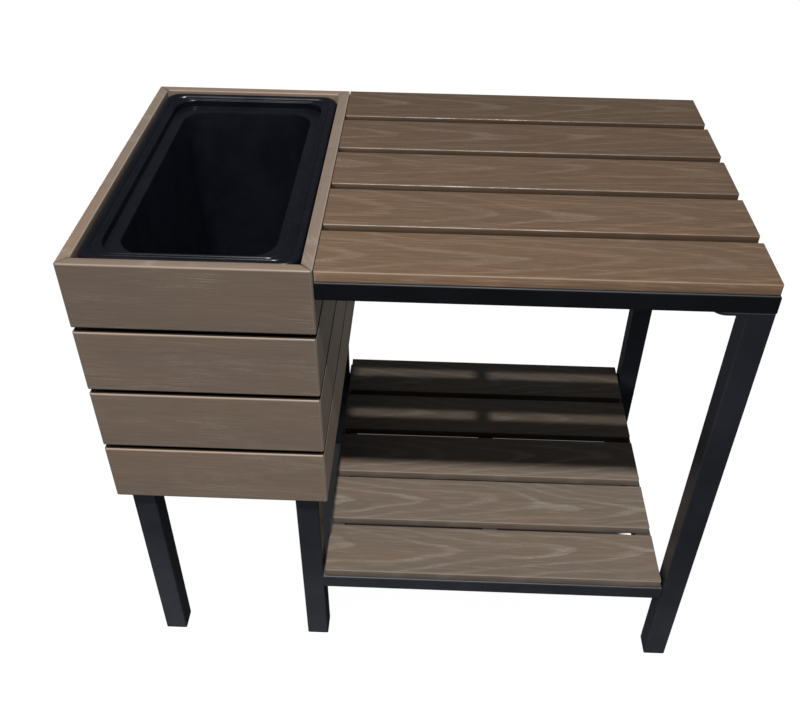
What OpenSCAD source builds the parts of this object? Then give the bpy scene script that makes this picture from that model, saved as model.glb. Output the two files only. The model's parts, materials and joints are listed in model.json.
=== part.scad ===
// Potting bench: a slatted work top and lower shelf on a square steel tube frame,
// with a tall boarded planter and its lift-out liner at the left end.
// Millimetres, +Z up. The origin is on the floor, below the middle of the bench.
// X runs from the planter (left) to the open end (right), and -Y is the front.

/* [Overall] */
// Overall width, planter to open end
overall_w = 1000; // [900:10:1200]
// Height of the work top above the floor
overall_h = 865; // [800:5:950]
// Width of the planter over its boards
planter_w = 358; // [340:2:420]
// Height of the shelf's top face above the floor
shelf_h = 220; // [150:5:280]

/* [Boards] */
// Width of every composite board
board_w = 110; // [100:1:120]
// Thickness of every composite board
board_t = 18; // [16:1:22]
// Radius of a board's eased edges
board_ease = 3; // [1:0.5:5]
// Radius of the planter's upright corners
corner_r = 5; // [2:0.5:7]
// Gap between the slats of the top and the shelf
slat_gap = 16; // [10:1:20]
// Gap between the courses of the planter
course_gap = 8; // [4:1:12]
// How far a mitred board's inner corner is cut back, which opens the joint inwards
mitre_open = 1.8; // [0.2:0.1:3]

/* [Steel frame] */
// Side of a square leg tube
leg_w = 40; // [36:1:45]
// Side of a square rail tube
rail_w = 30; // [28:1:34]
// Wall of the tubes
tube_wall = 1.5; // [1.5:0.5:3]
// Outer corner radius of the tubes
tube_r = 3; // [2.5:0.5:4]
// How far the frame stands out past the slats' edges
frame_proud = 1; // [0:0.5:3]
// Where the cross rails under the top and the shelf run
centre_rail_x = 150; // [120:5:190]

/* [Liner] */
// Wall of the liner
liner_wall = 3; // [2:0.5:4]
// Corner radius of the liner's rolled edge
rim_r = 28; // [20:1:36]
// How far each side of the liner's tub leans in towards its floor
liner_draft = 20; // [5:1:24]
// How far the liner's rolled edge lies below the top boards
liner_drop = 3; // [2:1:8]

/* [Hidden] */
$fn = 48;
COURSES = 4;
SLATS = 5;
SIDES = ["left", "right"];
ENDS = ["front", "back"];

BOARD_COLOUR = "#7c6a5e";
STEEL_COLOUR = "#2c2e34";
PLASTIC_COLOUR = "#1d1f23";
ZINC_COLOUR = "#9a9ca0";

// The boards' outline
left_x = -overall_w / 2;
right_x = overall_w / 2;
depth = SLATS * board_w + (SLATS - 1) * slat_gap;
slat_pitch = board_w + slat_gap;
planter_right_x = left_x + planter_w;
planter_x = left_x + planter_w / 2;
course_pitch = board_w + course_gap;
planter_h = COURSES * board_w + (COURSES - 1) * course_gap;
planter_z = overall_h - planter_h;

// The planter's own frame stands against the inner faces of its boards
inner_w = planter_w - 2 * board_t;
inner_d = depth - 2 * board_t;
planter_leg_dx = (inner_w - leg_w) / 2;
planter_leg_dy = (inner_d - leg_w) / 2;
planter_leg_drop = 20;
planter_leg_top = overall_h - planter_leg_drop;
rail_dx = (inner_w - rail_w) / 2;
rail_dy = (inner_d - rail_w) / 2;
crossbar_y = depth / 5;

// The bench's legs and frames
frame_half_d = depth / 2 + frame_proud;
rail_top = overall_h - board_t;
rail_bottom = rail_top - rail_w;
flange_t = 4;
flange_size = 88;
flange_r = 20;
bench_leg_x = right_x - leg_w / 2;
bench_leg_y = frame_half_d - leg_w / 2;
bench_leg_top = rail_bottom - flange_t;
top_frame_gap = 1;
top_frame_left = planter_right_x + top_frame_gap;
slat_end_gap = 1.5;
top_slat_left = planter_right_x + slat_end_gap;
top_slat_right = right_x - slat_end_gap;

// The shelf hangs between the planter's right legs and the bench legs
middle_leg_face = planter_right_x - board_t;
bench_leg_face = right_x - leg_w;
shelf_frame_gap = 1;
shelf_left = middle_leg_face + shelf_frame_gap;
shelf_right = bench_leg_face - shelf_frame_gap;
shelf_slat_gap = 6;
shelf_rail_top = shelf_h - board_t;
shelf_rail_bottom = shelf_rail_top - rail_w;

// Angle brackets under the shelf
bracket_size = 28;
bracket_t = 3;
bracket_len = 30;
bracket_hole = 16;
bracket_shift = 12;

// Plugs in the tube ends
plug_t = 3;
plug_depth = 15;
top_plug_depth = 4;
plug_wall = 2;
plug_clear = 0.2;

// Fasteners
screw_r = 2;
screw_head_r = 4;
screw_head_h = 2.5;
screw_bite = 12;
screw_clear = 0.3;
access_r = 5;
slat_screw_spread = 19;
side_screw_z = 40;
end_screw_z = 54;
m8_r = 4;
m8_head_r = 7.5;
m8_head_h = 5.3;
m6_r = 3;
m6_head_r = 5.8;
m6_head_h = 4;
bolt_clear = 0.3;
thread_past = 10;
flange_bolt_in = 24;
mitre_tip = 0.2;

// The liner
fit_gap = 0.3;
liner_edge_gap = 2;
ledge_z = planter_leg_top + fit_gap;
roll_w = 14;
tub_r = 45;
tub_gap = 3;
tub_w = inner_w - 2 * leg_w - 2 * tub_gap;
tub_d = inner_d - 2 * leg_w - 2 * tub_gap;
tub_z = planter_z + rail_w + fit_gap;

// Positions and small helpers
function slat_y(i) = -depth / 2 + board_w / 2 + (i - 1) * slat_pitch;
function course_z(i) = planter_z + board_w / 2 + (i - 1) * course_pitch;
function side_sign(s) = s == "left" ? -1 : 1;
function end_sign(e) = e == "front" ? -1 : 1;
function top_rail_xs() = [top_frame_left + rail_w / 2, centre_rail_x, right_x - rail_w / 2];
function shelf_rail_xs() = [shelf_left + rail_w / 2, centre_rail_x, shelf_right - rail_w / 2];

module round_rect(w, h, r) {
    square([w - 2 * r, h], center = true);
    square([w, h - 2 * r], center = true);
    for (x = [-1, 1], y = [-1, 1])
        translate([x * (w / 2 - r), y * (h / 2 - r)])
            circle(r);
}

// Lies along X, centred, with the section's first size across Y and its second up Z
module along_x(length) {
    rotate([90, 0, 90])
        linear_extrude(length, center = true)
            children();
}

module tube_section(size) {
    difference() {
        round_rect(size, size, tube_r);
        round_rect(size - 2 * tube_wall, size - 2 * tube_wall, tube_r - tube_wall);
    }
}

module tube_x(length) {
    along_x(length)
        tube_section(rail_w);
}

module tube_y(length) {
    rotate([0, 0, 90])
        tube_x(length);
}

// A rail of a mitred rectangle: outer side towards -Y, cut at 45 degrees at both ends
module mitred_rail(length) {
    intersection() {
        tube_x(length);
        linear_extrude(2 * rail_w, center = true)
            polygon([
                [-length / 2, -rail_w / 2],
                [length / 2, -rail_w / 2],
                [length / 2 - rail_w, rail_w / 2],
                [-length / 2 + rail_w, rail_w / 2]
            ]);
    }
}

// One of the four rails of a rectangle of w by d, centred on the origin
module frame_rail(where, w, d) {
    if (where == "front" || where == "back")
        rotate([0, 0, where == "front" ? 0 : 180])
            translate([0, rail_w / 2 - d / 2, 0])
                mitred_rail(w);
    else
        rotate([0, 0, where == "left" ? -90 : 90])
            translate([0, rail_w / 2 - w / 2, 0])
                mitred_rail(d);
}

// ---- Composite boards ----

module plain_slat(length) {
    intersection() {
        along_x(length)
            round_rect(board_w, board_t, board_ease);
        linear_extrude(2 * board_t, center = true)
            round_rect(length, board_w, board_ease);
    }
}

module top_slat(i) {
    color(BOARD_COLOUR)
        difference() {
            translate([(top_slat_left + top_slat_right) / 2, slat_y(i), overall_h - board_t / 2])
                plain_slat(top_slat_right - top_slat_left);
            slat_screw_row(i, top_rail_xs(), rail_top)
                screw_shank(tube_wall + screw_bite, screw_r);
        }
}

module shelf_slat(i) {
    slat_left = middle_leg_face + shelf_slat_gap;
    slat_right = bench_leg_face - shelf_slat_gap;
    color(BOARD_COLOUR)
        difference() {
            translate([(slat_left + slat_right) / 2, slat_y(i), shelf_h - board_t / 2])
                plain_slat(slat_right - slat_left);
            slat_screw_row(i, shelf_rail_xs(), shelf_rail_top)
                screw_shank(tube_wall + screw_bite, screw_r);
        }
}

// A planter board: outer face towards -Y, mitred ends that open a little inwards
module mitred_board(length) {
    intersection() {
        along_x(length)
            round_rect(board_t, board_w, board_ease);
        linear_extrude(2 * board_w, center = true)
            polygon([
                [mitre_tip - length / 2, -board_t / 2],
                [length / 2 - mitre_tip, -board_t / 2],
                [length / 2 - board_t - mitre_open, board_t / 2],
                [board_t + mitre_open - length / 2, board_t / 2]
            ]);
    }
}

module planter_outline() {
    translate([planter_x, 0, planter_z - board_w])
        linear_extrude(planter_h + 2 * board_w)
            round_rect(planter_w, depth, corner_r);
}

module planter_board(where, i) {
    turn = where == "front" ? 0 : where == "right" ? 90 : where == "back" ? 180 : -90;
    across = where == "front" || where == "back";
    length = across ? planter_w : depth;
    reach = (across ? depth : planter_w) / 2;
    color(BOARD_COLOUR)
        difference() {
            intersection() {
                translate([planter_x, 0, course_z(i)])
                    rotate([0, 0, turn])
                        translate([0, board_t / 2 - reach, 0])
                            mitred_board(length);
                planter_outline();
            }
            board_screw_set(i)
                screw_shank(leg_w + screw_bite, screw_r);
            if (where == "right")
                tie_bolt_set()
                    bolt_shank(rail_w + board_t + leg_w / 2, m8_r + bolt_clear);
        }
}

// ---- Steel frame ----

module planter_leg(e, s) {
    leg_x = planter_x + side_sign(s) * planter_leg_dx;
    leg_y = end_sign(e) * planter_leg_dy;
    color(STEEL_COLOUR)
        difference() {
            translate([leg_x, leg_y, plug_t])
                linear_extrude(planter_leg_top - 2 * plug_t)
                    tube_section(leg_w);
            for (i = [1:COURSES])
                board_screw_set(i)
                    screw_shank(leg_w + screw_bite, screw_r + screw_clear);
            tie_bolt_set()
                bolt_shank(rail_w + board_t + leg_w / 2, m8_r);
            bracket_bolt_set()
                bolt_shank(bracket_t + thread_past, m6_r);
        }
}

module planter_top_rail(where) {
    z = planter_leg_top - rail_w / 2;
    color(STEEL_COLOUR)
        if (where == "front" || where == "back")
            translate([planter_x, end_sign(where) * rail_dy, z])
                tube_x(inner_w - 2 * leg_w);
        else
            translate([planter_x + side_sign(where) * rail_dx, 0, z])
                tube_y(inner_d - 2 * leg_w);
}

module planter_floor_rail(s) {
    color(STEEL_COLOUR)
        translate([planter_x + side_sign(s) * rail_dx, 0, planter_z + rail_w / 2])
            tube_y(inner_d - 2 * leg_w);
}

module planter_crossbar(e) {
    color(STEEL_COLOUR)
        translate([planter_x, end_sign(e) * crossbar_y, planter_z + rail_w / 2])
            tube_x(inner_w - 2 * rail_w);
}

module bench_leg(e) {
    color(STEEL_COLOUR)
        difference() {
            translate([bench_leg_x, end_sign(e) * bench_leg_y, plug_t])
                linear_extrude(bench_leg_top - plug_t)
                    tube_section(leg_w);
            bracket_bolt_set()
                bolt_shank(bracket_t + thread_past, m6_r);
        }
}

// The plate on top of a bench leg: broad round corners on its inner side
module leg_flange(e) {
    color(STEEL_COLOUR)
        difference() {
            mirror([0, e == "front" ? 0 : 1, 0])
                translate([right_x - flange_size / 2, flange_size / 2 - frame_half_d, bench_leg_top])
                    linear_extrude(flange_t)
                        difference() {
                            round_rect(flange_size, flange_size, tube_r);
                            flange_corner(-1, -1);
                            flange_corner(-1, 1);
                            flange_corner(1, 1);
                        }
            flange_bolt_set()
                bolt_shank(flange_t + thread_past, m8_r + bolt_clear);
        }
}

module flange_corner(sx, sy) {
    edge = flange_size / 2;
    difference() {
        translate([sx * edge, sy * edge])
            square(2 * flange_r, center = true);
        translate([sx * (edge - flange_r), sy * (edge - flange_r)])
            circle(flange_r);
    }
}

module top_rail(where) {
    w = right_x - top_frame_left;
    color(STEEL_COLOUR)
        difference() {
            if (where == "centre")
                translate([centre_rail_x, 0, rail_bottom + rail_w / 2])
                    tube_y(2 * (frame_half_d - rail_w));
            else
                translate([top_frame_left + w / 2, 0, rail_bottom + rail_w / 2])
                    frame_rail(where, w, 2 * frame_half_d);
            if (where != "front" && where != "back")
                for (i = [1:SLATS])
                    slat_screw_row(i, top_rail_xs(), rail_top)
                        screw_way();
            tie_bolt_set()
                bolt_shank(rail_w + board_t + leg_w / 2, m8_r + bolt_clear);
            flange_bolt_set()
                bolt_shank(flange_t + thread_past, m8_r);
        }
}

module shelf_rail(where) {
    w = shelf_right - shelf_left;
    color(STEEL_COLOUR)
        difference() {
            if (where == "centre")
                translate([centre_rail_x, 0, shelf_rail_bottom + rail_w / 2])
                    tube_y(2 * (frame_half_d - rail_w));
            else
                translate([shelf_left + w / 2, 0, shelf_rail_bottom + rail_w / 2])
                    frame_rail(where, w, 2 * frame_half_d);
            if (where != "front" && where != "back")
                for (i = [1:SLATS])
                    slat_screw_row(i, shelf_rail_xs(), shelf_rail_top)
                        screw_way();
            bracket_bolt_set()
                bolt_shank(bracket_t + thread_past, m6_r);
        }
}

// The four corners that carry the shelf: [leg face, direction away from the leg, distance in Y].
// The planter's pair stands off its legs' middles, so its bolts miss the slat screws.
function bracket_places() = [
    for (e = [-1, 1])
        for (place = [[middle_leg_face, 1, planter_leg_dy - bracket_shift], [bench_leg_face, -1, bench_leg_y]])
            [place[0], place[1], e * place[2]]
];

module shelf_brackets() {
    color(STEEL_COLOUR)
        difference() {
            for (p = bracket_places())
                translate([p[0], p[2], shelf_rail_bottom])
                    mirror([p[1] < 0 ? 1 : 0, 0, 0])
                        rotate([90, 0, 0])
                            linear_extrude(bracket_len, center = true)
                                polygon([
                                    [0, 0],
                                    [bracket_size, 0],
                                    [bracket_size, -bracket_t],
                                    [bracket_t, -bracket_t],
                                    [bracket_t, -bracket_size],
                                    [0, -bracket_size]
                                ]);
            bracket_bolt_set()
                bolt_shank(bracket_t + thread_past, m6_r + bolt_clear);
        }
}

// ---- Plugs and liner ----

module leg_plug(skirt) {
    inner = leg_w - 2 * tube_wall - 2 * plug_clear;
    linear_extrude(plug_t)
        round_rect(leg_w, leg_w, tube_r);
    translate([0, 0, plug_t])
        linear_extrude(skirt)
            difference() {
                round_rect(inner, inner, tube_r - tube_wall);
                square(inner - 2 * plug_wall, center = true);
            }
}

module leg_plugs() {
    color(PLASTIC_COLOUR) {
        for (x = [-1, 1], y = [-1, 1])
            translate([planter_x + x * planter_leg_dx, y * planter_leg_dy, 0]) {
                leg_plug(plug_depth);
                translate([0, 0, planter_leg_top])
                    mirror([0, 0, 1])
                        leg_plug(top_plug_depth);
            }
        for (y = [-1, 1])
            translate([bench_leg_x, y * bench_leg_y, 0])
                leg_plug(plug_depth);
    }
}

// Carries a profile round a rounded rectangle. The profile's x is measured outwards
// from the rectangle's corner centres, and its y is the height.
module swept_ring(w, d, r) {
    half_w = w / 2 - r;
    half_d = d / 2 - r;
    for (turn = [0, 180]) {
        rotate([0, 0, turn])
            translate([half_w, 0, 0])
                rotate([90, 0, 0])
                    linear_extrude(2 * half_d, center = true)
                        children();
        rotate([0, 0, turn + 90])
            translate([half_d, 0, 0])
                rotate([90, 0, 0])
                    linear_extrude(2 * half_w, center = true)
                        children();
        rotate([0, 0, turn])
            translate([half_w, half_d, 0])
                rotate_extrude(angle = 90)
                    children();
        rotate([0, 0, turn + 90])
            translate([half_d, half_w, 0])
                rotate_extrude(angle = 90)
                    children();
    }
}

// The rolled edge: a round-topped hollow bead whose skirt hangs beside the boards
module roll_profile() {
    bead_r = roll_w / 2;
    bead_z = overall_h - liner_drop - bead_r;
    translate([rim_r - bead_r, 0])
        difference() {
            union() {
                translate([0, bead_z])
                    circle(bead_r);
                translate([-bead_r, ledge_z])
                    square([roll_w, bead_z - ledge_z]);
            }
            translate([0, bead_z])
                circle(bead_r - liner_wall);
            translate([liner_wall - bead_r, ledge_z - 1])
                square([roll_w - 2 * liner_wall, bead_z - ledge_z + 1]);
        }
}

// The tub's wall leans in towards its floor so that the liner lifts out freely
module tub_profile() {
    polygon([
        [tub_r, ledge_z + liner_wall],
        [tub_r - liner_wall, ledge_z + liner_wall],
        [tub_r - liner_wall - liner_draft, tub_z],
        [tub_r - liner_draft, tub_z]
    ]);
}

module planter_liner() {
    rim_w = inner_w - 2 * liner_edge_gap;
    rim_d = inner_d - 2 * liner_edge_gap;
    floor_cut = 2 * liner_draft + liner_wall;
    color(PLASTIC_COLOUR)
        translate([planter_x, 0, 0]) {
            swept_ring(rim_w, rim_d, rim_r)
                roll_profile();
            translate([0, 0, ledge_z])
                linear_extrude(liner_wall)
                    difference() {
                        round_rect(rim_w - roll_w, rim_d - roll_w, rim_r - roll_w / 2);
                        round_rect(tub_w - liner_wall, tub_d - liner_wall, tub_r - liner_wall / 2);
                    }
            swept_ring(tub_w, tub_d, tub_r)
                tub_profile();
            translate([0, 0, tub_z])
                linear_extrude(liner_wall)
                    round_rect(tub_w - floor_cut, tub_d - floor_cut, tub_r - floor_cut / 2);
        }
}

// ---- Fasteners ----

// Shanks start at the origin and run up +Z; the "set" modules put one at each place
module screw_shank(length, r) {
    cylinder(h = length, r = r);
}

module bolt_shank(length, r) {
    translate([0, 0, -1])
        cylinder(h = length + 1, r = r);
}

// Clearance through a rail's upper wall, and the access hole below it
module screw_way() {
    cylinder(h = 2 * tube_wall, r = screw_r + screw_clear, center = true);
    translate([0, 0, -rail_w])
        cylinder(h = rail_w / 2, r = access_r);
}

module screw(length) {
    cylinder(h = length, r = screw_r);
    translate([0, 0, -screw_head_h])
        cylinder(h = screw_head_h, r = screw_head_r);
}

module hex_bolt(length, r, head_r, head_h) {
    cylinder(h = length, r = r);
    translate([0, 0, -head_h])
        cylinder(h = head_h, r = head_r, $fn = 6);
}

// Two screws at each rail under slat i, their origins on the underside of the rail's upper wall
module slat_screw_row(i, rail_xs, rail_top_z) {
    for (x = rail_xs, y = [-1, 1])
        translate([x, slat_y(i) + y * slat_screw_spread, rail_top_z - tube_wall])
            children();
}

// Course i is screwed from inside the legs, with the two directions at different heights
module board_screw_set(i) {
    bottom = course_z(i) - board_w / 2;
    for (x = [-1, 1], y = [-1, 1]) {
        translate([planter_x + x * (planter_leg_dx - leg_w / 2), y * planter_leg_dy, bottom + side_screw_z])
            rotate([0, x * 90, 0])
                children();
        translate([planter_x + x * planter_leg_dx, y * (planter_leg_dy - leg_w / 2), bottom + end_screw_z])
            rotate([-y * 90, 0, 0])
                children();
    }
}

// From the top frame's left rail, through the board, into the planter's leg
module tie_bolt_set() {
    for (y = [-1, 1])
        translate([top_frame_left + rail_w, y * planter_leg_dy, rail_bottom + rail_w / 2])
            rotate([0, -90, 0])
                children();
}

// Up through a leg's plate into the rails that cross above it
module flange_bolt_set() {
    inner_end = flange_size - flange_bolt_in;
    for (y = [-1, 1]) {
        translate([right_x - inner_end, y * (frame_half_d - rail_w / 2), bench_leg_top])
            children();
        translate([right_x - rail_w / 2, y * (frame_half_d - inner_end), bench_leg_top])
            children();
    }
}

// One bolt up into the shelf's frame and one sideways into the leg at each bracket
module bracket_bolt_set() {
    for (p = bracket_places()) {
        translate([p[0] + p[1] * bracket_hole, p[2], shelf_rail_bottom - bracket_t])
            children();
        translate([p[0] + p[1] * bracket_t, p[2], shelf_rail_bottom - bracket_hole])
            rotate([0, -p[1] * 90, 0])
                children();
    }
}

module slat_screws() {
    color(ZINC_COLOUR)
        for (i = [1:SLATS]) {
            slat_screw_row(i, top_rail_xs(), rail_top)
                screw(tube_wall + screw_bite);
            slat_screw_row(i, shelf_rail_xs(), shelf_rail_top)
                screw(tube_wall + screw_bite);
        }
}

module board_screws() {
    color(ZINC_COLOUR)
        for (i = [1:COURSES])
            board_screw_set(i)
                screw(leg_w + screw_bite);
}

module flange_bolts() {
    color(STEEL_COLOUR) {
        flange_bolt_set()
            hex_bolt(flange_t + thread_past, m8_r, m8_head_r, m8_head_h);
        tie_bolt_set()
            hex_bolt(rail_w + board_t + leg_w / 2, m8_r, m8_head_r, m8_head_h);
    }
}

module bracket_bolts() {
    color(STEEL_COLOUR)
        bracket_bolt_set()
            hex_bolt(bracket_t + thread_past, m6_r, m6_head_r, m6_head_h);
}

// ---- The assembly ----

for (w = ["front", "back", "left", "right"]) {
    for (i = [1:COURSES])
        planter_board(w, i);
    planter_top_rail(w);
}
for (w = ["front", "back", "left", "right", "centre"]) {
    top_rail(w);
    shelf_rail(w);
}
for (e = ENDS) {
    for (s = SIDES)
        planter_leg(e, s);
    planter_crossbar(e);
    bench_leg(e);
    leg_flange(e);
}
for (s = SIDES)
    planter_floor_rail(s);
for (i = [1:SLATS]) {
    top_slat(i);
    shelf_slat(i);
}
planter_liner();
shelf_brackets();
leg_plugs();
slat_screws();
board_screws();
flange_bolts();
bracket_bolts();
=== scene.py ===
import json
import math
from collections import namedtuple

import bmesh
import bpy
import numpy as np
from mathutils import Matrix, Vector


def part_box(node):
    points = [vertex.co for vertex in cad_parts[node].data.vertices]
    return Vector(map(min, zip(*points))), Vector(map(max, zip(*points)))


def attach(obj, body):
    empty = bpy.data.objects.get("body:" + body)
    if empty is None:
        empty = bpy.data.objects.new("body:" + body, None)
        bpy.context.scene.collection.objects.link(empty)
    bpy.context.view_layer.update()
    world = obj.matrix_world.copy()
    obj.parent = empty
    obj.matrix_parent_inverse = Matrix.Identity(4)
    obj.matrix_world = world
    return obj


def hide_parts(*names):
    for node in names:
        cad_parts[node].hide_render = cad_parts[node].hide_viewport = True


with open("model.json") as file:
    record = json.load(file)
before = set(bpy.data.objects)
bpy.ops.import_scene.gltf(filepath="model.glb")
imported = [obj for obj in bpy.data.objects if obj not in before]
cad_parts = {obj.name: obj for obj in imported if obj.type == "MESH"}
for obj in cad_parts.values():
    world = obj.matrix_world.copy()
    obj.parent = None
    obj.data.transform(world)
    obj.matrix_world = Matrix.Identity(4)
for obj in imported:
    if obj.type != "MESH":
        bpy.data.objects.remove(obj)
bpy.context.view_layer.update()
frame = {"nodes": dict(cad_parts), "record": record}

MM = 0.001

# The camera as fitted to the photo, in the object's frame
LENS = 41.2074
SHIFT_X, SHIFT_Y = -0.010525, 0.02705
CAMERA_PLACE = (0.01902, -1.35199, 1.55759)
CAMERA_RIGHT = (0.99929301, 0.03573263, 0.01169029)
CAMERA_DOWN = (0.03189652, -0.64116663, -0.76673852)
CAMERA_FORWARD = (-0.01990216, 0.76656932, -0.64185308)

# The floor's radii and heights, from the flat disc up the backdrop
FLOOR_SIDES = 64
FLOOR_RINGS = ((10, 0), (11.5, 0.2), (12.7, 0.9), (13.5, 2.2), (13.9, 4.2), (14.0, 9.0))

# The boards' small shapes. A mitre's tip stands back from the corner, and the mitre opens inwards.
EASE = 3 * MM
CORNER_R = 5 * MM
MITRE_TIP = 0.55 * MM
MITRE_OPEN = 3.4 * MM
END_EASE = 0.7 * MM
LINE_DEPTH = 0.16 * MM
RIPPLE_DEPTH = 0.10 * MM

# The liner's wall, its rolled edge and ribs, how far the tub narrows towards its floor, and how far the tub
# and its ledge keep from the legs
LINER_WALL = 3 * MM
ROLL_R = 7 * MM
RIB_R = 2.6 * MM
DRAFT = 20 * MM
TUB_CLEARANCE = 3 * MM
LEDGE_GAP = 0.3 * MM
CORNER_STEPS = 12

# Meshes: points closer than this are one, and edges past this angle stay sharp
SAME_POINT = 2e-6
SHARP = math.radians(38)

# Board and grain line colours, linear
TOP_BASE, TOP_LINE = (0.150, 0.094, 0.058), (0.252, 0.190, 0.148)
SHELF_BASE, SHELF_LINE = (0.245, 0.192, 0.154), (0.43, 0.375, 0.325)
WALL_BASE, WALL_LINE = (0.342, 0.258, 0.204), (0.54, 0.455, 0.385)

# How much darker each top slat is than the one in front of it (a painted fall of light), and each wall
# course than the one below it
TOP_PAINTED_LIGHT_STEP = 0.085
WALL_TONE_STEP = 0.06

# Strength of the grain lines, unevenness of tone, depth of the fibres, paleness of the rounded edges
# (partly wear, partly a painted highlight) and their polish, and gloss
Look = namedtuple("Look", "lines uneven depth edge polish gloss")
TOP_LOOK = Look(0.66, 0.60, 1.2, 0.20, 0.31, 0.42)
FRONT_TOP_LOOK = Look(0.66, 0.60, 1.2, 0.20, 0.08, 0.42)
SHELF_LOOK = Look(0.78, 0.35, 0.8, 0.20, 0.0, 0.30)
WALL_LOOK = Look(1.00, 0.12, 0.40, 0.60, 0.20, 0.30)


# ---- Camera and light ----

def make_camera():
    data = bpy.data.cameras.new("camera")
    data.sensor_fit = "HORIZONTAL"
    data.sensor_width = 36.0
    data.lens = LENS
    data.shift_x = SHIFT_X
    data.shift_y = SHIFT_Y
    data.clip_start = 0.05
    data.clip_end = 60.0
    cam = bpy.data.objects.new("camera", data)
    bpy.context.scene.collection.objects.link(cam)
    turn = Matrix((Vector(CAMERA_RIGHT), -Vector(CAMERA_DOWN), -Vector(CAMERA_FORWARD))).transposed()
    cam.matrix_world = Matrix.Translation(CAMERA_PLACE) @ turn.to_4x4()
    bpy.context.scene.camera = cam


def make_world(strength):
    world = bpy.data.worlds.new("studio")
    bpy.context.scene.world = world
    world.use_nodes = True
    background = world.node_tree.nodes["Background"]
    background.inputs["Color"].default_value = (0.84, 0.93, 1.0, 1.0)
    background.inputs["Strength"].default_value = strength


def make_lamp(name, shape, place, target, size, power, colour):
    data = bpy.data.lights.new(name, "AREA")
    data.shape = shape
    data.size = size[0]
    if shape != "DISK":
        data.size_y = size[1]
    data.energy = power
    data.color = colour
    lamp = bpy.data.objects.new(name, data)
    bpy.context.scene.collection.objects.link(lamp)
    lamp.location = place
    lamp.rotation_euler = (Vector(target) - Vector(place)).to_track_quat("-Z", "Y").to_euler()
    return lamp


def make_lamps():
    """The key casts the work top's shade on the shelf. The others lift single sides."""
    return {
        "key": make_lamp("key", "DISK", (0.22, -3.30, 7.20), (0.0, 0.0, 0.6), (0.27,), 455,
                         (1.0, 0.985, 0.955)),
        "back": make_lamp("back", "RECTANGLE", (0.2, 2.7, 2.2), (0.15, 0.0, 0.4), (3.0, 1.4), 4.5,
                          (0.93, 0.97, 1.0)),
        "side": make_lamp("side", "RECTANGLE", (-1.3, -1.5, 1.5), (0.0, 0.0, 0.6), (0.8, 0.8), 36,
                          (1.0, 0.98, 0.95)),
        "strip": make_lamp("strip", "RECTANGLE", (-0.2, -1.4, 4.2), (-0.3, 0.0, 0.86), (3.2, 0.25), 12,
                           (0.85, 0.92, 1.0)),
        "fill": make_lamp("fill", "RECTANGLE", (0.75, 0.05, 0.72), (-0.14, 0.05, 0.65), (0.5, 0.4), 1.3,
                          (0.80, 0.93, 1.0)),
        "rear": make_lamp("rear", "RECTANGLE", (-1.7, 2.5, 0.38), (-0.3, 0.1, 0.5), (2.4, 0.85), 32,
                          (1.0, 0.99, 0.97)),
    }


def link_lamp(lamp, pieces, state):
    """Keeps a light to some pieces (INCLUDE) or away from them (EXCLUDE)."""
    group = bpy.data.collections.new(lamp.name + "_reach")
    for piece in pieces:
        group.objects.link(piece)
    lamp.light_linking.receiver_collection = group
    for item in group.collection_objects:
        item.light_linking.link_state = state


def share_lamps(lamps, floor, shelf, walls, liner):
    """Says which pieces each lamp lights. The glowing floor is kept to a lamp, so it lights no piece."""
    nodes = frame["nodes"]
    right_walls = [board for board in walls if "_right_" in board.name]
    hidden_walls = [board for board in walls if "_left_" in board.name or "_back_" in board.name]
    hidden_steel = [nodes[name] for name in ("planter_leg_back_left", "planter_leg_back_right",
                                             "planter_leg_front_left", "top_rail_back")]
    link_lamp(lamps["key"], [floor], "EXCLUDE")
    link_lamp(lamps["back"], [floor, liner] + shelf, "EXCLUDE")
    link_lamp(lamps["side"], [floor, liner, nodes["top_rail_front"]] + shelf + walls, "EXCLUDE")
    link_lamp(lamps["strip"], [liner], "INCLUDE")
    link_lamp(lamps["fill"], right_walls, "INCLUDE")
    link_lamp(lamps["rear"], hidden_walls + hidden_steel + [liner], "INCLUDE")
    link_lamp(floor, [lamps["key"]], "INCLUDE")


def floor_material():
    """Pale and glowing, but for a painted shade on the floor below the shelf."""
    n = Nodes("pale_floor")
    n.shader.inputs["Base Color"].default_value = (0.80, 0.80, 0.80, 1)
    n.shader.inputs["Roughness"].default_value = 0.9
    n.shader.inputs["Specular IOR Level"].default_value = 0.1
    n.shader.inputs["Emission Color"].default_value = (1, 1, 1, 1)
    place = n.place()
    x, y = place["X"], place["Y"]
    # the painted shade's limits in metres, each a soft step; its left and right sides slant with the depth
    left = n.maths("ADD", x, n.maths("MULTIPLY", y, 0.19))
    right = n.maths("SUBTRACT", x, n.maths("MULTIPLY", y, 0.35))
    across = n.maths("MULTIPLY", n.ramp(left, -0.258, -0.207), n.ramp(right, 0.452, 0.478, 1.0, 0.0))
    across = n.maths("MULTIPLY", across, n.ramp(x, 0.500, 0.516, 1.0, 0.0))
    deep = n.maths("MULTIPLY", n.ramp(y, -0.175, -0.105), n.ramp(y, 0.25, 0.36, 1.0, 0.0))
    painted_shade_under_shelf = n.maths("MULTIPLY", across, deep)
    n.link(n.maths("MULTIPLY", n.maths("SUBTRACT", 1.0, painted_shade_under_shelf), 0.97),
           n.shader.inputs["Emission Strength"])
    return n.mat


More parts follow.
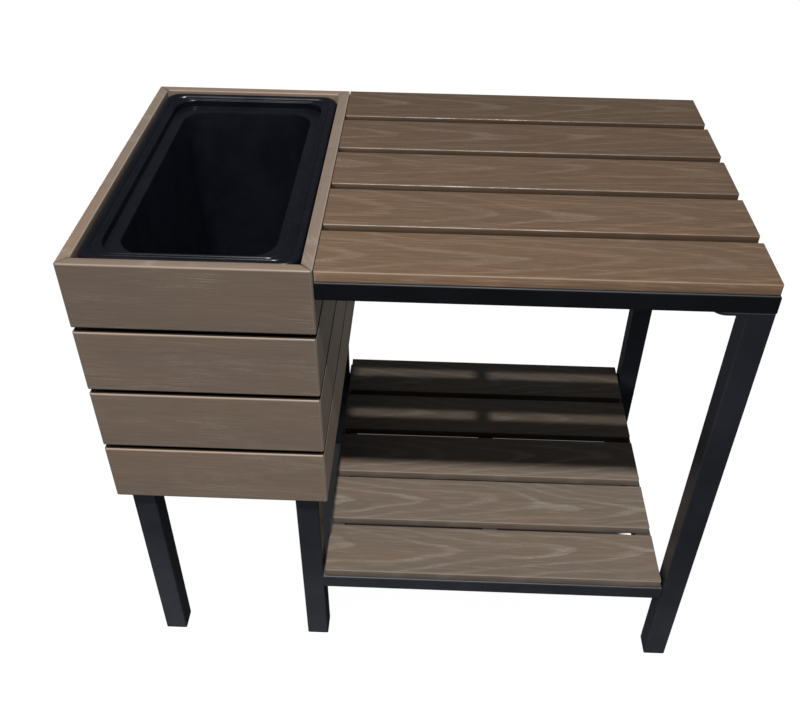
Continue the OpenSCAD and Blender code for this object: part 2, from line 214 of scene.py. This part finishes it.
def make_floor():
    """A pale floor that rises into a backdrop far from the bench."""
    points, faces = [], [tuple(range(FLOOR_SIDES))]
    for radius, height in FLOOR_RINGS:
        for k in range(FLOOR_SIDES):
            turn = math.tau * k / FLOOR_SIDES
            points.append((radius * math.cos(turn), radius * math.sin(turn), height))
    for ring in range(len(FLOOR_RINGS) - 1):
        low, high = ring * FLOOR_SIDES, (ring + 1) * FLOOR_SIDES
        for k in range(FLOOR_SIDES):
            following = (k + 1) % FLOOR_SIDES
            faces.append((low + following, low + k, high + k, high + following))
    mesh = bpy.data.meshes.new("floor")
    mesh.from_pydata(points, [], faces)
    mesh.shade_smooth()
    floor = bpy.data.objects.new("floor", mesh)
    bpy.context.scene.collection.objects.link(floor)
    give(floor, floor_material())
    return floor


# ---- Materials ----

class Nodes:
    """A short way to write a node tree."""

    def __init__(self, name):
        self.mat = bpy.data.materials.new(name)
        self.mat.use_nodes = True
        self.tree = self.mat.node_tree
        self.shader = self.tree.nodes["Principled BSDF"]

    def add(self, kind, **settings):
        node = self.tree.nodes.new(kind)
        for key, value in settings.items():
            setattr(node, key, value)
        return node

    def link(self, a, b):
        self.tree.links.new(a, b)

    def put(self, socket, value):
        """Links the value if it is another node's output, and sets it if it is a plain value."""
        if isinstance(value, bpy.types.NodeSocket):
            self.link(value, socket)
        else:
            socket.default_value = value

    def split(self, vector):
        node = self.add("ShaderNodeSeparateXYZ")
        self.link(vector, node.inputs["Vector"])
        return node.outputs

    def place(self):
        return self.split(self.add("ShaderNodeTexCoord").outputs["Object"])

    def facing(self):
        return self.split(self.add("ShaderNodeNewGeometry").outputs["Normal"])

    def maths(self, operation, a, b=0.0):
        node = self.add("ShaderNodeMath", operation=operation)
        self.put(node.inputs[0], a)
        self.put(node.inputs[1], b)
        return node.outputs[0]

    def noise(self, scale, offset=(0, 0, 0), detail=3.0, rough=0.55, distortion=0.0):
        """Noise in the object's own axes, scaled along each axis."""
        mapping = self.add("ShaderNodeMapping")
        mapping.inputs["Scale"].default_value = scale
        mapping.inputs["Location"].default_value = offset
        self.link(self.add("ShaderNodeTexCoord").outputs["Object"], mapping.inputs["Vector"])
        node = self.add("ShaderNodeTexNoise")
        self.link(mapping.outputs["Vector"], node.inputs["Vector"])
        node.inputs["Scale"].default_value = 1.0
        node.inputs["Detail"].default_value = detail
        node.inputs["Roughness"].default_value = rough
        node.inputs["Distortion"].default_value = distortion
        return node.outputs["Fac"]

    def ramp(self, value, low, high, out_low=0.0, out_high=1.0):
        node = self.add("ShaderNodeMapRange", interpolation_type="SMOOTHSTEP")
        self.put(node.inputs["Value"], value)
        limits = {"From Min": low, "From Max": high, "To Min": out_low, "To Max": out_high}
        for key, number in limits.items():
            node.inputs[key].default_value = number
        return node.outputs["Result"]

    def mix(self, factor, a, b):
        """From colour a at 0 to colour b at 1."""
        node = self.add("ShaderNodeMix", data_type="RGBA")
        self.put(node.inputs["Factor"], factor)
        colour_sockets = [socket for socket in node.inputs if socket.type == "RGBA"]
        for socket, colour in zip(colour_sockets, (a, b)):
            self.put(socket, colour if isinstance(colour, bpy.types.NodeSocket) else (*colour, 1.0))
        return [socket for socket in node.outputs if socket.type == "RGBA"][0]

    def bump(self, height, strength, distance):
        node = self.add("ShaderNodeBump")
        self.link(height, node.inputs["Height"])
        node.inputs["Strength"].default_value = strength
        node.inputs["Distance"].default_value = distance
        return node.outputs["Normal"]


def shade(colour, factor):
    return tuple(c * factor for c in colour)


def give(obj, mat):
    obj.data.materials.clear()
    obj.data.materials.append(mat)


def board_noises(n, along, seed):
    """The noises a board's colour and roughness are made from, drawn out along the board."""
    def drawn_out(across_scale, along_scale, *offset, **settings):
        scale = [across_scale] * 3
        scale[along] = along_scale
        return n.noise(scale, offset, **settings)

    far = 7.31 * (seed + 1)
    return {
        "fibre": drawn_out(760.0, 24.0, far, far * 1.7, far * 0.6, detail=2.0, rough=0.6),
        "strands": drawn_out(420.0, 17.0, far * 0.7, far * 0.2, far, detail=2.0, distortion=0.35),
        "streaks": drawn_out(150.0, 5.0, far * 0.4, far, far * 1.3, detail=4.0, rough=0.62, distortion=0.6),
        "patch": drawn_out(16.0, 2.2, far, far * 0.3, far * 0.8, detail=2.0, rough=0.5),
        "dashes": drawn_out(820.0, 210.0, far, far * 0.9, far * 0.1, detail=1.0),
        "speck": n.noise((900.0,) * 3, (far, 0, far), detail=1.0),
    }


def rounded_edges(n, facing):
    """1 where the surface is turned between two axes, which on a board is at its rounded edges."""
    sizes = [n.maths("ABSOLUTE", facing[axis]) for axis in ("X", "Y", "Z")]
    squarest = n.maths("MAXIMUM", n.maths("MAXIMUM", sizes[0], sizes[1]), sizes[2])
    return n.ramp(squarest, 0.86, 0.975, 1.0, 0.0)


def board_colour(n, noises, grain, rounded, base, line_tone, look):
    warm = n.mix(n.ramp(noises["patch"], 0.35, 0.68), shade(base, 0.94),
                 (base[0] * 1.14, base[1] * 1.03, base[2] * 0.93))
    streaked = n.mix(n.ramp(noises["streaks"], 0.34, 0.66), shade(base, 1 - 0.20 * look.uneven), warm)
    stranded = n.mix(n.ramp(noises["strands"], 0.38, 0.60, 0.0, 0.34 * look.depth), streaked,
                     shade(base, 0.62))
    paler = n.mix(n.ramp(noises["strands"], 0.30, 0.44, 0.26 * look.depth, 0.0), stranded,
                  shade(line_tone, 1.05))
    broken = n.maths("MULTIPLY", n.maths("MULTIPLY", grain, look.lines),
                     n.ramp(noises["dashes"], 0.34, 0.62, 0.45, 1.15))
    lined = n.mix(n.maths("MINIMUM", broken, 1.0), paler, line_tone)
    fibred = n.mix(n.ramp(noises["fibre"], 0.30, 0.72, 0.0, 1.0),
                   n.mix(1 - 0.24 * look.depth, shade(base, 0.55), lined), lined)
    pitted = n.mix(n.ramp(noises["dashes"], 0.30, 0.42, 0.22 * look.depth, 0.0), fibred, shade(base, 0.6))
    # the rounded edges turn paler: partly wear, partly a painted highlight
    edge_wear_and_highlight = n.mix(n.maths("MULTIPLY", rounded, look.edge), pitted, shade(line_tone, 1.1))
    return n.mix(n.ramp(noises["speck"], 0.70, 0.82, 0.0, 0.35), edge_wear_and_highlight, shade(line_tone, 1.15))


def paint_gap_shade(n, colour, facing, base, gap_shade):
    """Painted shade: darkens the faces that look into a gap between boards, where the next board shades
    them.
    """
    if gap_shade == "front edge":
        reach = n.ramp(n.maths("MULTIPLY", facing["Y"], -1.0), 0.75, 0.98, 0.0, 0.74)
        return n.mix(reach, colour, shade(base, 0.20))
    if gap_shade in ("top edge", "top corner"):
        low, high = (0.90, 0.99) if gap_shade == "top edge" else (0.30, 0.75)
        return n.mix(n.ramp(facing["Z"], low, high, 0.0, 0.93), colour, shade(base, 0.03))
    return colour


def composite_material(name, along, seed, base, line_tone, look, gap_shade=None):
    """Embossed wood-plastic board: fibres run along one axis, and the mesh's own grain gives the lines."""
    n = Nodes(name)
    noises = board_noises(n, along, seed)
    grain = n.add("ShaderNodeAttribute", attribute_type="GEOMETRY", attribute_name="grain").outputs["Fac"]
    facing = n.facing()
    rounded = rounded_edges(n, facing)
    colour = board_colour(n, noises, grain, rounded, base, line_tone, look)
    # faces inside the board gaps get a painted shade
    n.link(paint_gap_shade(n, colour, facing, base, gap_shade), n.shader.inputs["Base Color"])

    rough = n.maths("ADD", n.ramp(noises["streaks"], 0.3, 0.7, 0.50, 0.62),
                    n.maths("MULTIPLY", grain, 0.10))
    worn = n.maths("MULTIPLY", rounded,
                   n.ramp(noises["patch"], 0.30, 0.66, -0.6 * look.polish, -look.polish))
    n.link(n.maths("ADD", rough, worn), n.shader.inputs["Roughness"])
    n.shader.inputs["Specular IOR Level"].default_value = look.gloss
    height = n.maths("ADD", n.maths("MULTIPLY", noises["fibre"], 0.7),
                     n.maths("MULTIPLY", noises["strands"], 0.6))
    n.link(n.bump(height, 0.35 * look.depth, 0.0006), n.shader.inputs["Normal"])
    return n.mat


def powder_coat(name, colour, dust_and_sheen):
    """Black powder coat: orange peel, a faint blue sheen, and a pale tone on ledges and near the feet,
    partly a dusty film and partly painted sheen.
    """
    n = Nodes(name)
    peel = n.noise((650.0,) * 3, detail=2.0, rough=0.5)
    cloud = n.noise((9.0,) * 3, detail=3.0, rough=0.6)
    speck = n.noise((1800.0,) * 3, detail=1.0)
    # painted sheen: the steel turns paler towards the floor, as if it reflected the floor
    near_floor = n.ramp(n.place()["Z"], 0.0, 0.36, 0.42, 0.0)
    ledge = n.ramp(n.facing()["Z"], 0.30, 0.90)
    dust_and_sheen_mask = n.maths("MULTIPLY", n.maths("MAXIMUM", near_floor, ledge), n.ramp(cloud, 0.2, 0.7, 0.7, 1.0))
    tone = n.mix(n.ramp(cloud, 0.3, 0.7), shade(colour, 0.85), shade(colour, 1.2))
    dotted = n.mix(n.ramp(speck, 0.62, 0.78, 0.0, 0.5), tone, shade(colour, 2.2))
    n.link(n.mix(dust_and_sheen_mask, dotted, dust_and_sheen), n.shader.inputs["Base Color"])
    n.link(n.maths("ADD", n.ramp(cloud, 0.25, 0.75, 0.34, 0.42), n.maths("MULTIPLY", dust_and_sheen_mask, 0.15)),
           n.shader.inputs["Roughness"])
    n.shader.inputs["Specular IOR Level"].default_value = 0.40
    height = n.maths("ADD", peel, n.maths("MULTIPLY", speck, 0.25))
    n.link(n.bump(height, 0.22, 0.0003), n.shader.inputs["Normal"])
    return n.mat


def moulded_plastic(name, colour, rough_low, rough_high):
    """Black moulded plastic with a fine texture and handling marks."""
    n = Nodes(name)
    pebble = n.noise((520.0,) * 3, detail=3.0, rough=0.6)
    cloud = n.noise((14.0,) * 3, detail=4.0, rough=0.65)
    scuff = n.noise((60.0, 9.0, 30.0), detail=5.0, rough=0.7, distortion=0.8)
    tone = n.mix(n.ramp(cloud, 0.3, 0.72), shade(colour, 0.85), shade(colour, 1.25))
    n.link(n.mix(n.ramp(scuff, 0.62, 0.80, 0.0, 0.35), tone, shade(colour, 2.4)),
           n.shader.inputs["Base Color"])
    n.link(n.ramp(cloud, 0.25, 0.75, rough_low, rough_high), n.shader.inputs["Roughness"])
    n.shader.inputs["Specular IOR Level"].default_value = 0.45
    n.link(n.bump(pebble, 0.12, 0.0003), n.shader.inputs["Normal"])
    return n.mat


def plated_metal(name, colour, roughness):
    """Zinc or black oxide on small hardware, with fine turning marks."""
    n = Nodes(name)
    cloud = n.noise((260.0,) * 3, detail=3.0, rough=0.6)
    marks = n.noise((1500.0, 1500.0, 300.0), detail=2.0)
    n.link(n.mix(n.ramp(cloud, 0.3, 0.7), shade(colour, 0.75), shade(colour, 1.15)),
           n.shader.inputs["Base Color"])
    n.link(n.ramp(cloud, 0.25, 0.75, roughness - 0.06, roughness + 0.08), n.shader.inputs["Roughness"])
    n.shader.inputs["Metallic"].default_value = 1.0
    n.link(n.bump(marks, 0.15, 0.0001), n.shader.inputs["Normal"])
    return n.mat


# ---- Meshes in general ----

def tube_faces(rings, per_ring):
    """Faces between rings of points, and one over each end."""
    faces = []
    for i in range(rings - 1):
        a, b = i * per_ring, (i + 1) * per_ring
        for j in range(per_ring):
            k = (j + 1) % per_ring
            faces.append((a + j, a + k, b + k, b + j))
    faces.append(tuple(range(per_ring)))
    faces.append(tuple((rings - 1) * per_ring + j for j in reversed(range(per_ring))))
    return faces


def clean_mesh(mesh):
    """Merges doubled points, turns the faces outward, and shades all but the sharp edges smooth."""
    bm = bmesh.new()
    bm.from_mesh(mesh)
    bmesh.ops.remove_doubles(bm, verts=bm.verts, dist=SAME_POINT)
    bmesh.ops.recalc_face_normals(bm, faces=bm.faces)
    bm.to_mesh(mesh)
    bm.free()
    mesh.shade_smooth()
    mesh.set_sharp_from_angle(angle=SHARP)


def middle_of(low, high):
    return (low + high) / 2


# ---- Boards ----

def value_noise(x, y, seed):
    """Smooth noise in 0..1 over arrays x and y, the same every run."""
    def corner(i, j):
        h = np.sin(i * 127.1 + j * 311.7 + seed * 74.7) * 43758.5453
        return h - np.floor(h)

    i, j = np.floor(x), np.floor(y)
    a, b = x - i, y - j
    a, b = a * a * (3 - 2 * a), b * b * (3 - 2 * b)
    low = corner(i, j) * (1 - a) + corner(i + 1, j) * a
    high = corner(i, j + 1) * (1 - a) + corner(i + 1, j + 1) * a
    return low * (1 - b) + high * b


def smooth(x, low, high):
    t = np.clip((x - low) / (high - low), 0, 1)
    return t * t * (3 - 2 * t)


def cathedral_grain(s, u, seed):
    """Nested tongues that close towards +s. s runs along the board and u across it, in mm."""
    rng = np.random.default_rng(seed)
    centre = rng.uniform(-12, 12) + 22 * (value_noise(s / 190, s * 0, seed) - 0.5)
    pitch, tongue = rng.uniform(15, 20), rng.uniform(140, 205)
    off = (u - centre) / (1 + 0.25 * value_noise(s / 240, s * 0 + 3, seed))
    wander = 0.55 * value_noise(s / 90, u / 36, seed + 1) + 0.14 * value_noise(s / 26, u / 8, seed + 2)
    phase = np.sqrt(off ** 2 + 15 ** 2) / pitch + s / tongue + wander + rng.uniform(0, 1)
    part = phase - np.floor(phase)
    band = smooth(part, 0.62, 0.80) * (1 - smooth(part, 0.94, 0.99))
    thread = 0.55 + 0.45 * smooth(value_noise(s / 22, u / 2.2, seed + 4), 0.25, 0.75)
    near_tip = 0.50 + 0.50 * np.exp(-(off / 22) ** 2)
    patch = 0.55 + 0.45 * smooth(value_noise(s / 110, u / 34, seed + 5), 0.25, 0.75)
    return band * thread * near_tip * patch


def straight_grain(s, u, seed):
    """Fine broken threads that slant a little across the board, in mm."""
    slant = u + 0.075 * s
    slant += 16 * value_noise(s / 170, u / 60, seed) + 2.5 * value_noise(s / 60, u / 16, seed + 6)
    phase = slant / (4.0 + 0.8 * np.sin(seed))
    part = np.abs(phase - np.floor(phase) - 0.5) * 2
    thread = 1 - smooth(part, 0.06, 0.34)
    broken = smooth(value_noise(s / 34, slant / 3.1, seed + 4), 0.45, 0.85)
    patch = smooth(value_noise(s / 120, u / 30, seed + 5), 0.30, 0.8)
    soft = 0.30 * value_noise(s / 55, slant / 3.2, seed + 7)
    return np.clip(thread * broken * (0.25 + 0.75 * patch) + 0.5 * soft * patch, 0, 1)


def section_points(width, thick):
    """The section's outline as (u, v, share): share is 1 on the show face and 0 elsewhere."""
    half_u, half_v, flat = width / 2, thick / 2, width - 2 * EASE
    columns, fade_columns, turns, under_columns = round(width / MM), 3, 5, 12
    points = []
    for k in range(columns + 1):
        share = min(1.0, min(k, columns - k) / fade_columns)
        points.append((-half_u + EASE + flat * k / columns, half_v, share))
    for cu, cv, first in ((1, 1, 90), (1, -1, 0), (-1, -1, -90), (-1, 1, -180)):
        for k in range(1, turns + 1):
            a = math.radians(first - 90 * k / turns)
            points.append((cu * (half_u - EASE) + EASE * math.cos(a),
                           cv * (half_v - EASE) + EASE * math.sin(a), 0.0))
        if (cu, cv) == (1, -1):
            for k in range(1, under_columns):
                points.append((half_u - EASE - flat * k / under_columns, -half_v, 0.0))
    return np.array(points[:-1])


def stations(half):
    """Places along a half length, mirrored: close together near the ends, and evenly spaced between."""
    near = [d * MM for d in (0, 0.12, 0.35, 0.7, 1.3, 2.1, 3.0, 4.2)]
    step = 8 * MM
    inner = half - near[-1]
    count = max(1, round(inner / step))
    side = [inner * k / count for k in range(1, count + 1)] + [half - d for d in reversed(near[:-1])]
    return np.array([-x for x in reversed(side)] + [0.0] + side)


def mitre_ends(s, v, length, thick):
    """Draws each end back along its mitre, from the outer corner in to the inner face."""
    meet = thick / 2 - CORNER_R * (1 - math.sqrt(0.5))
    slope = (thick + MITRE_OPEN - MITRE_TIP) / thick
    end = length / 2 - MITRE_TIP - (thick / 2 - np.minimum(v, meet)) * slope
    s = s / (length / 2) * end
    past = np.clip(np.abs(s) - (length / 2 - CORNER_R), 0, CORNER_R)
    v = np.minimum(v, thick / 2 - (CORNER_R - np.sqrt(CORNER_R ** 2 - past ** 2)))
    return s, v


def ease_ends(s, u, v, length, width, thick):
    """Rounds the corners of square ends and eases the rim of the end face."""
    d = length / 2 - np.abs(s)
    corner = np.clip(EASE - d, 0, EASE)
    half_u = width / 2 - (EASE - np.sqrt(EASE ** 2 - corner ** 2))
    rim = np.clip(END_EASE - d, 0, END_EASE)
    shrink = END_EASE - np.sqrt(END_EASE ** 2 - rim ** 2)
    u = np.clip(u, -(half_u - shrink), half_u - shrink)
    v = v * (thick / 2 - shrink) / (thick / 2)
    return u, v


def board_mesh(name, length, width, thick, seed, in_wall):
    """A board in its own axes: s along, u across, v out of its show face. Wall boards are mitred."""
    section, along = section_points(width, thick), stations(length / 2)
    s = np.repeat(along[:, None], len(section), 1)
    u, v, share = (np.repeat(section[None, :, k], len(along), 0) for k in range(3))
    if in_wall:
        s, v = mitre_ends(s, v, length, thick)
        grain = straight_grain(s / MM, u / MM, seed)
    else:
        u, v = ease_ends(s, u, v, length, width, thick)
        grain = cathedral_grain(s / MM, u / MM, seed)
    fade = np.clip((length / 2 - np.abs(s)) / (4 * MM), 0, 1)
    ripple = value_noise(s / MM / 260, u / MM / 60, seed + 9)
    v = v - share * fade * (LINE_DEPTH * grain + RIPPLE_DEPTH * ripple)
    points = np.stack([s, u, v], -1).reshape(-1, 3)
    mesh = bpy.data.meshes.new(name)
    mesh.from_pydata([tuple(p) for p in points], [], tube_faces(*s.shape))
    attribute = mesh.attributes.new("grain", "FLOAT", "POINT")
    lines = np.where(share > 0, grain, grain * 0.6).reshape(-1)
    attribute.data.foreach_set("value", lines.astype(np.float32))
    clean_mesh(mesh)
    return mesh


def place_board(node, mesh, middle, along, out, mat):
    """Turns a board so that its length and show face point the given ways, in its node's place."""
    along, out = Vector(along), Vector(out)
    across = out.cross(along)
    turn = Matrix((along, across, out)).transposed().to_4x4()
    mesh.transform(Matrix.Translation(middle) @ turn)
    board = bpy.data.objects.new(node + "_board", mesh)
    bpy.context.scene.collection.objects.link(board)
    give(board, mat)
    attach(board, "bench")
    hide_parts(node)
    return board


def make_slats():
    """The work top's and the shelf's slats, each deck from the front. Gives back the shelf's."""
    shelf = []
    for deck, base, line in (("top", TOP_BASE, TOP_LINE), ("shelf", SHELF_BASE, SHELF_LINE)):
        on_top = deck == "top"
        for i in range(1, 6):
            node = f"{deck}_slat_{i}"
            look = FRONT_TOP_LOOK if node == "top_slat_1" else TOP_LOOK if on_top else SHELF_LOOK
            low, high = (Vector(c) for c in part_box(node))
            size = high - low
            seed = (10 if on_top else 20) + i
            mesh = board_mesh(node, size.x, size.y, size.z, seed, False)
            # painted light: each top slat is darker than the one in front of it
            tone = 1.0 + TOP_PAINTED_LIGHT_STEP * (3 - i) if on_top else 1.0
            # painted shade on front faces that look into a gap: the top's back four slats and the shelf's
            # back two
            gap_shade = "front edge" if (on_top and i > 1) or i > 3 else None
            mat = composite_material(f"composite_{node}", 0, seed, shade(base, tone), shade(line, tone),
                                     look, gap_shade)
            board = place_board(node, mesh, middle_of(low, high), (1, 0, 0), (0, 0, 1), mat)
            if not on_top:
                shelf.append(board)
    return shelf


def make_walls():
    """The planter's boards, four courses to a wall, the lowest first."""
    left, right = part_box("planter_board_left_1"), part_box("planter_board_right_1")
    front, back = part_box("planter_board_front_1"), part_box("planter_board_back_1")
    across_x, across_y = right[1][0] - left[0][0], back[1][1] - front[0][1]
    # for each wall, where its boards' length and their show face point
    ways = {"front": ((1, 0, 0), (0, -1, 0)), "back": ((-1, 0, 0), (0, 1, 0)),
            "left": ((0, -1, 0), (-1, 0, 0)), "right": ((0, 1, 0), (1, 0, 0))}
    walls = []
    for w, (wall, (along, out)) in enumerate(ways.items()):
        end_on = wall in ("front", "back")
        for i in range(1, 5):
            node = f"planter_board_{wall}_{i}"
            low, high = (Vector(c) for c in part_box(node))
            size = high - low
            length, thick = (across_x, size.y) if end_on else (across_y, size.x)
            seed = 40 + 10 * w + i
            mesh = board_mesh(node, length, size.z, thick, seed, True)
            tone = 1.0 + WALL_TONE_STEP * (2.5 - i)
            # painted shade on the top faces of the three lower courses, inside the gaps
            gap_shade = ("top edge" if end_on else "top corner") if i < 4 else None
            mat = composite_material(f"composite_{node}", 0 if end_on else 1, seed, shade(WALL_BASE, tone),
                                     shade(WALL_LINE, tone), WALL_LOOK, gap_shade)
            walls.append(place_board(node, mesh, middle_of(low, high), along, out, mat))
    return walls


# ---- Liner ----

def rounded_ring(half_x, half_y, radius, z):
    ring = []
    for quarter, (sx, sy) in enumerate(((1, 1), (-1, 1), (-1, -1), (1, -1))):
        for k in range(CORNER_STEPS + 1):
            a = math.radians(90 * quarter + 90 * k / CORNER_STEPS)
            ring.append((sx * (half_x - radius) + radius * math.cos(a),
                         sy * (half_y - radius) + radius * math.sin(a), z))
    return ring


def arc(inset, z, radius, first, last, count):
    """Steps round a bead: 0 degrees points in towards the tub and 180 out towards the boards."""
    turns = [math.radians(first + (last - first) * k / count) for k in range(count + 1)]
    return [(inset + radius * math.cos(a), z + radius * math.sin(a)) for a in turns]


def liner_profile(top, ledge, foot, tub_inset):
    """The wall from the middle of the tub's floor, out over the rolled edge and back below: (inset, z)."""
    mouth, ledge_top = tub_inset + LINER_WALL, ledge + LINER_WALL
    roll_end, roll_z = 2 * ROLL_R, top - ROLL_R
    first_rib, second_rib, rib_z = roll_end + 9.0 * MM, roll_end + 3.4 * MM, top - 3.0 * MM - RIB_R
    tub_floor = [(mouth + DRAFT + 12 * MM, foot + LINER_WALL),
                 (mouth + DRAFT + 3 * MM, foot + 1.2 * LINER_WALL)]
    inside = [(mouth + DRAFT, foot + 2 * LINER_WALL), (mouth + 1 * MM, ledge_top - 4 * MM)]
    lip = [(mouth - 0.5 * MM, ledge_top - 1 * MM), (tub_inset, ledge_top), (roll_end + 17 * MM, ledge_top)]
    ribs = [(first_rib + RIB_R, ledge_top + 1.5 * MM)] + arc(first_rib, rib_z, RIB_R, 0, 150, 8)
    ribs += arc(second_rib, rib_z, RIB_R, 30, 150, 7)
    roll = arc(ROLL_R, roll_z, ROLL_R, 25, 180, 14)
    skirt = [(0.0, ledge), (LINER_WALL, ledge)]
    hollow = arc(ROLL_R, roll_z, ROLL_R - LINER_WALL, 180, 0, 10)
    under = [(roll_end - LINER_WALL, ledge), (tub_inset, ledge), (tub_inset + DRAFT, foot)]
    return tub_floor + inside + lip + ribs + roll + skirt + hollow + under


def liner_radius(inset, tub_inset):
    """The corners' radius in plan: it grows from the roll to the tub's mouth and shrinks down the tub."""
    rim, roll_inner, mouth = 28 * MM, 21 * MM, 45 * MM
    if inset < ROLL_R:
        return rim - inset
    if inset < tub_inset:
        return roll_inner + (mouth - roll_inner) * (inset - ROLL_R) / (tub_inset - ROLL_R)
    return mouth - (inset - tub_inset)


def make_liner():
    """The tub stands between the planter's legs, and its ledge lies just over their tops."""
    low, high = (Vector(c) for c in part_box("planter_liner"))
    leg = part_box("planter_leg_front_left")[1]
    tub_inset = leg[0] + TUB_CLEARANCE - low.x
    half, middle = (high - low) / 2, middle_of(low, high)
    profile = liner_profile(high.z, leg[2] + LEDGE_GAP, low.z, tub_inset)
    points = []
    for inset, z in profile:
        points += rounded_ring(half.x - inset, half.y - inset, liner_radius(inset, tub_inset), z)
    mesh = bpy.data.meshes.new("liner")
    mesh.from_pydata([(x + middle.x, y + middle.y, z) for x, y, z in points], [],
                     tube_faces(len(profile), 4 * (CORNER_STEPS + 1)))
    clean_mesh(mesh)
    liner = bpy.data.objects.new("liner_tray", mesh)
    bpy.context.scene.collection.objects.link(liner)
    give(liner, moulded_plastic("liner_plastic", (0.0060, 0.0070, 0.0115), 0.24, 0.34))
    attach(liner, "liner")
    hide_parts("planter_liner")
    return liner


# ---- The rest of the CAD's nodes ----

def dress_cad():
    """Gives the CAD's own meshes their materials. The top's front rail gets a darker copy of the coat:
    painted shade.
    """
    finish = {
        "coated_steel": powder_coat("powder_coat", (0.0148, 0.0160, 0.0215), (0.068, 0.074, 0.088)),
        "plug_plastic": moulded_plastic("plug_plastic", (0.010, 0.010, 0.011), 0.45, 0.6),
        "zinc_screw": plated_metal("zinc_plate", (0.50, 0.51, 0.53), 0.38),
        "black_bolt": plated_metal("black_oxide", (0.035, 0.035, 0.038), 0.42),
    }
    slots = {row["node"]: row["material_slot"] for row in frame["record"]["subparts"]}
    for node, obj in frame["nodes"].items():
        if slots[node] in finish:
            give(obj, finish[slots[node]])
    # painted shade: the front rail's coat is a darker copy of the others
    give(frame["nodes"]["top_rail_front"],
         powder_coat("powder_coat_painted_shade", (0.0075, 0.0078, 0.0105), (0.050, 0.054, 0.064)))


make_camera()
make_world(0.103)
floor = make_floor()
lamps = make_lamps()
shelf = make_slats()
walls = make_walls()
liner = make_liner()
dress_cad()
share_lamps(lamps, floor, shelf, walls, liner)
bpy.context.scene.view_settings.view_transform = "Standard"
